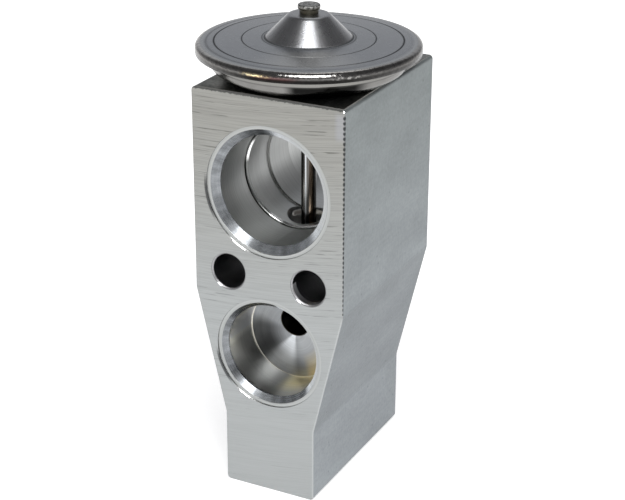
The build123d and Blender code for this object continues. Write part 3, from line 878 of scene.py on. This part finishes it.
def half_spring(name, upper_half, middle):
    """Mesh of the spring's upper or lower half, cut at middle height and closed there."""
    wire = bmesh.new()
    wire.from_mesh(nodes["spring"].data)
    bmesh.ops.remove_doubles(wire, verts=wire.verts, dist=1e-7)
    cut = bmesh.ops.bisect_plane(
        wire,
        geom=[*wire.verts, *wire.edges, *wire.faces],
        plane_co=(0.0, 0.0, middle),
        plane_no=(0.0, 0.0, 1.0),
        clear_inner=upper_half,
        clear_outer=not upper_half,
    )
    rim = [part for part in cut["geom_cut"] if isinstance(part, bmesh.types.BMEdge)]
    bmesh.ops.holes_fill(wire, edges=rim, sides=0)
    bmesh.ops.recalc_face_normals(wire, faces=wire.faces)
    mesh = bpy.data.meshes.new(name)
    wire.to_mesh(mesh)
    wire.free()
    mesh.shade_smooth()
    mesh.set_sharp_from_angle(angle=radians(40.0))
    mesh.materials.append(spring_steel)
    return mesh


def coil(name, upper_half):
    """Half of the closing spring, cut at its middle height and put in the spring's place."""
    low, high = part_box("spring")
    middle = (low.z + high.z) / 2
    piece = bpy.data.objects.new(name, half_spring(name, upper_half, middle))
    scene.collection.objects.link(piece)
    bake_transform(piece)
    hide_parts("spring")


coil("spring_upper_coils", True)
coil("spring_lower_coils", False)


def studio_floor():
    """Large pale floor that keeps the shadow, is white in full light and is clear from below."""
    bpy.ops.mesh.primitive_plane_add(size=6.0, location=(0.0, 0.0, -0.00005))
    floor = bpy.context.object
    floor.name = "floor"
    g = Finish("floor_white")
    rays = g.node("ShaderNodeLightPath").outputs
    seen = g.mul(rays["Is Camera Ray"], g.ramp(g.radius, 60.0, 500.0, 0.42, 1.0))
    mirrored = g.mul(rays["Is Glossy Ray"], g.ramp(g.radius, 150.0, 900.0, 0.30, 0.55))
    paint = g.node("ShaderNodeBsdfDiffuse", {"Color": (0.80, 0.80, 0.80)})
    glow = g.node("ShaderNodeEmission", {"Color": WHITE, "Strength": g.either(seen, mirrored)})
    total = g.node("ShaderNodeAddShader")
    g.put(total.inputs[0], paint.outputs[0])
    g.put(total.inputs[1], glow.outputs[0])
    backfacing = g.node("ShaderNodeNewGeometry").outputs["Backfacing"]
    clear = g.node("ShaderNodeMixShader", {"Fac": g.mul(rays["Is Camera Ray"], backfacing)})
    g.put(clear.inputs[1], total.outputs[0])
    g.put(clear.inputs[2], g.node("ShaderNodeBsdfTransparent").outputs[0])
    floor.data.materials.append(g.surface(clear))


def room_reflection(g):
    """Grey room with a bright horizon and a paler wall behind the part, by direction."""
    direction = g.node("ShaderNodeTexCoord").outputs["Generated"]
    room = g.node("ShaderNodeValToRGB")
    g.put(room.inputs[0], g.node("ShaderNodeSeparateXYZ", {"Vector": direction}).outputs["Z"])
    stops = room.color_ramp.elements
    stops[0].position = 0.04
    stops[0].color = (0.80, 0.80, 0.80, 1.0)
    stops[1].position = 0.80
    stops[1].color = (0.08, 0.08, 0.083, 1.0)
    for position, level in ((0.14, 0.40), (0.30, 0.24), (0.50, 0.12)):
        stop = stops.new(position)
        stop.color = (level, level, level * 1.03, 1.0)
    towards_wall = g.node("ShaderNodeVectorMath", operation="DOT_PRODUCT")
    g.put(towards_wall.inputs[0], direction)
    towards_wall.inputs[1].default_value = Vector((-0.418, 0.820, 0.391)).normalized()
    near_wall = g.ramp(towards_wall.outputs["Value"], 0.76, 0.94, smooth=True)
    wall = g.mix("RGBA", 6, near_wall, room.outputs[0], (0.40, 0.41, 0.43))
    wall.blend_type = "LIGHTEN"
    return wall.outputs[2]


def studio_world():
    """White behind the part, and the plain room in its reflections."""
    world = bpy.data.worlds.new("studio")
    scene.world = world
    g = Graph(world, "ShaderNodeOutputWorld")
    rays = g.node("ShaderNodeLightPath").outputs
    lit = g.blend(rays["Is Glossy Ray"], (0.60, 0.60, 0.61), room_reflection(g))
    seen = g.blend(rays["Is Camera Ray"], lit, WHITE)
    g.surface(g.node("ShaderNodeBackground", {"Color": seen}))


def softbox(name, azimuth, elevation, distance, width, height, power, colour=WHITE):
    """Area lamp that looks at the part's middle."""
    target = Vector((0.0, 0.0, 0.055))
    turn = Matrix.Rotation(radians(azimuth), 4, "Z") @ Matrix.Rotation(radians(90.0 - elevation), 4, "X")
    lamp = bpy.data.lights.new(name, "AREA")
    lamp.shape = "RECTANGLE"
    lamp.size = width
    lamp.size_y = height
    lamp.energy = power
    lamp.color = colour
    holder = bpy.data.objects.new(name, lamp)
    scene.collection.objects.link(holder)
    holder.matrix_world = Matrix.Translation(target) @ turn @ Matrix.Translation((0.0, 0.0, distance))
    holder.visible_camera = False


def photo_camera():
    """Camera at the photograph's place and angle."""
    place = (0.13184, -0.25507, 0.16630)
    heading = Matrix.Rotation(radians(27.19), 4, "Z")
    tilt = Matrix.Rotation(radians(66.79), 4, "X")
    roll = Matrix.Rotation(radians(0.14), 4, "Z")
    lens = bpy.data.cameras.new("camera")
    lens.lens = 96.26
    lens.sensor_width = 36.0
    lens.clip_start = 0.01
    camera = bpy.data.objects.new("camera", lens)
    scene.collection.objects.link(camera)
    camera.matrix_world = Matrix.Translation(place) @ heading @ tilt @ roll
    scene.camera = camera


studio_floor()
studio_world()
softbox("key", 29.0, 54.0, 0.60, 0.33, 0.34, 2.6)
softbox("back", 190.0, 62.0, 0.70, 0.30, 0.20, 0.12)
softbox("warm", -24.0, 2.0, 0.30, 0.06, 0.016, 0.012, (1.0, 0.80, 0.42))
photo_camera()
